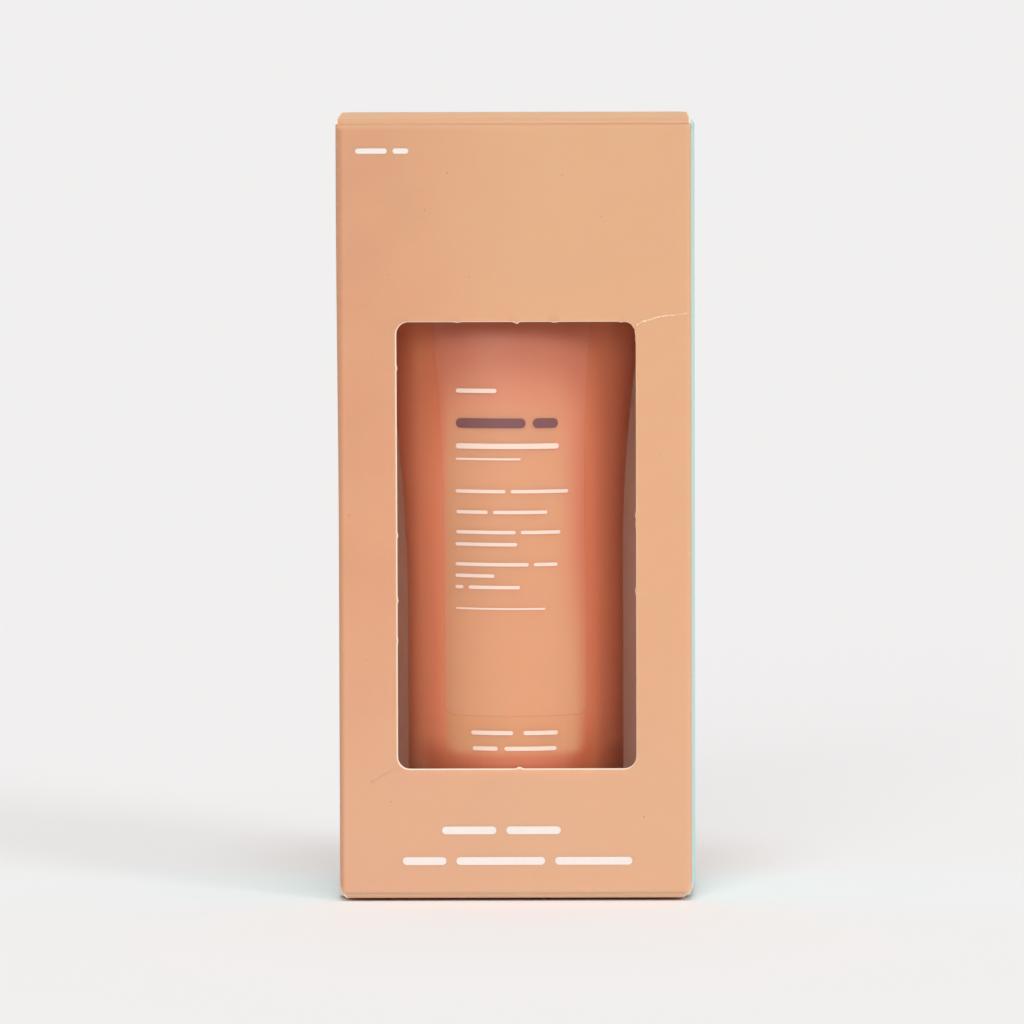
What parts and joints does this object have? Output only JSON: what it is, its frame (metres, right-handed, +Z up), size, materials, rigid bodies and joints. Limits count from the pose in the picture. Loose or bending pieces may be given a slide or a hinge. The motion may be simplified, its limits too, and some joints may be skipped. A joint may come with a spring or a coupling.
{
  "type": "boxed sunscreen tube",
  "caption": "Squeeze tube of sun cream with a screw cap, standing cap down in a windowed paperboard carton with tuck-in lids and dust flaps.",
  "frame": {"origin": "centre of the carton's footprint, on the surface that it stands on", "axes": "+Z up along the carton, -Y out of the windowed front, +X to the right of a person who faces the window"},
  "size_m": [0.0494, 0.032, 0.109],
  "materials": {
    "printed_board": "matt coated",
    "mint_board": "matt coated",
    "bare_board": "uncoated",
    "tube_plastic": "satin",
    "cap_plastic": "satin",
    "foil": "satin",
    "clear_film": "gloss",
    "cream": "soft"
  },
  "bodies": {
    "carton_and_tube": {"front_panel": "printed_board", "back_panel": "printed_board", "left_side_panel": "mint_board", "right_side_panel": "mint_board", "glue_flap": "bare_board", "tube_sleeve": "tube_plastic", "tube_shoulder": "tube_plastic", "foil_seal": "foil", "front_label": "clear_film", "cream_fill": "cream"},
    "upper_lid": {"top_lid": "printed_board"},
    "upper_tuck": {"top_tuck_flap": "printed_board"},
    "upper_left_dust": {"top_left_dust_flap": "mint_board"},
    "upper_right_dust": {"top_right_dust_flap": "mint_board"},
    "lower_lid": {"bottom_lid": "printed_board"},
    "lower_tuck": {"bottom_tuck_flap": "printed_board"},
    "lower_left_dust": {"bottom_left_dust_flap": "mint_board"},
    "lower_right_dust": {"bottom_right_dust_flap": "mint_board"},
    "cap": {"screw_cap": "cap_plastic"}
  },
  "joints": [
    {"name": "top_lid_crease", "type": "hinge", "parent": "carton_and_tube", "child": "upper_lid", "pos_m": [0, -0.016, 0.109], "axis": [1, 0, 0], "range_deg": [0, 175]},
    {"name": "top_tuck_crease", "type": "hinge", "parent": "upper_lid", "child": "upper_tuck", "pos_m": [0, 0.0154, 0.109], "axis": [1, 0, 0], "range_deg": [0, 35]},
    {"name": "top_left_dust_crease", "type": "hinge", "parent": "carton_and_tube", "child": "upper_left_dust", "pos_m": [-0.02475, 0, 0.10847], "axis": [0, -1, 0], "range_deg": [0, 87.5]},
    {"name": "top_right_dust_crease", "type": "hinge", "parent": "carton_and_tube", "child": "upper_right_dust", "pos_m": [0.02475, 0, 0.10847], "axis": [0, 1, 0], "range_deg": [0, 87.5]},
    {"name": "bottom_lid_crease", "type": "hinge", "parent": "carton_and_tube", "child": "lower_lid", "pos_m": [0, -0.016, 0], "axis": [-1, 0, 0], "range_deg": [0, 175]},
    {"name": "bottom_tuck_crease", "type": "hinge", "parent": "lower_lid", "child": "lower_tuck", "pos_m": [0, 0.0154, 0], "axis": [-1, 0, 0], "range_deg": [0, 35]},
    {"name": "bottom_left_dust_crease", "type": "hinge", "parent": "carton_and_tube", "child": "lower_left_dust", "pos_m": [-0.02475, 0, 0.00053], "axis": [0, 1, 0], "range_deg": [0, 87.5]},
    {"name": "bottom_right_dust_crease", "type": "hinge", "parent": "carton_and_tube", "child": "lower_right_dust", "pos_m": [0.02475, 0, 0.00053], "axis": [0, -1, 0], "range_deg": [0, 87.5]},
    {"name": "cap_turn", "type": "hinge", "parent": "carton_and_tube", "child": "cap", "pos_m": [0.0003, 0, 0.008], "axis": [0, 0, -1], "range_deg": [0, 540]}
  ],
  "couplings": [
    {"joint": "top_tuck_crease", "follows": "top_lid_crease", "ratio": 0.2},
    {"joint": "top_left_dust_crease", "follows": "top_lid_crease", "ratio": 0.5},
    {"joint": "top_right_dust_crease", "follows": "top_lid_crease", "ratio": 0.5},
    {"joint": "bottom_tuck_crease", "follows": "bottom_lid_crease", "ratio": 0.2},
    {"joint": "bottom_left_dust_crease", "follows": "bottom_lid_crease", "ratio": 0.5},
    {"joint": "bottom_right_dust_crease", "follows": "bottom_lid_crease", "ratio": 0.5}
  ]
}
